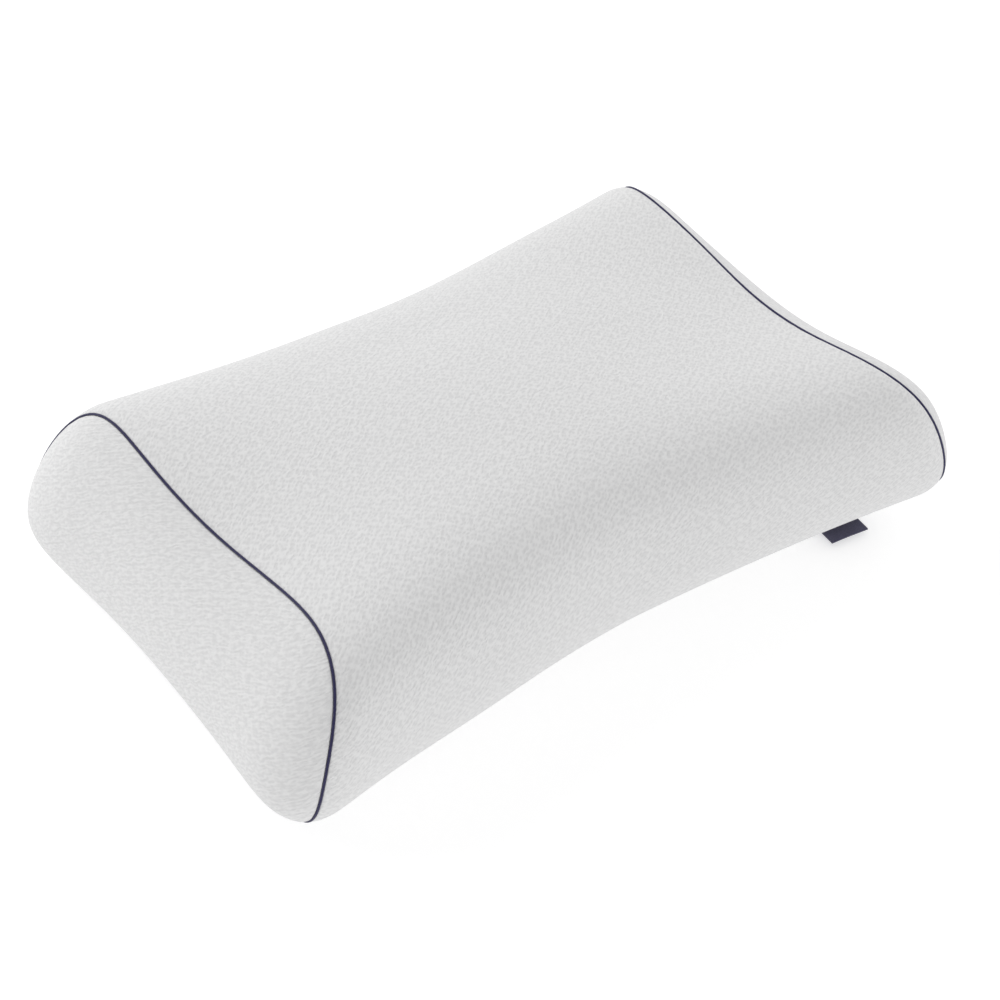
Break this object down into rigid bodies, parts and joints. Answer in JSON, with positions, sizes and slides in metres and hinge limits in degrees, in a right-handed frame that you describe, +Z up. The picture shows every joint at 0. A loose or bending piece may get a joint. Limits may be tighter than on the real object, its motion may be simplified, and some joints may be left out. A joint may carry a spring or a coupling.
{
  "type": "contoured head pillow",
  "caption": "Filled contour pillow with raised front and back edges, a drawn-in waist, rounded end panels sewn on over corded seams, and a folded ribbon tab.",
  "frame": {"origin": "middle of the flat base, under the middle of the overall length and depth", "axes": "+X along the length from the left end panel to the right one, -Y towards the lower front edge with the tab, +Z up"},
  "size_m": [0.6018, 0.396, 0.149],
  "materials": {
    "cover_knit": "matte off-white crinkled knit, small raised wavelets",
    "panel_knit": "matte off-white crinkled knit, wavelets running across the end",
    "piping_cloth": "dark navy woven cloth drawn round a thin cord",
    "tab_cloth": "dark navy woven ribbon, bare"
  },
  "bodies": {
    "root": {"pillow_body": "cover_knit", "end_panel_left": "panel_knit", "end_panel_right": "panel_knit", "piping_left": "piping_cloth", "piping_right": "piping_cloth", "label_tab": "tab_cloth"}
  },
  "joints": []
}
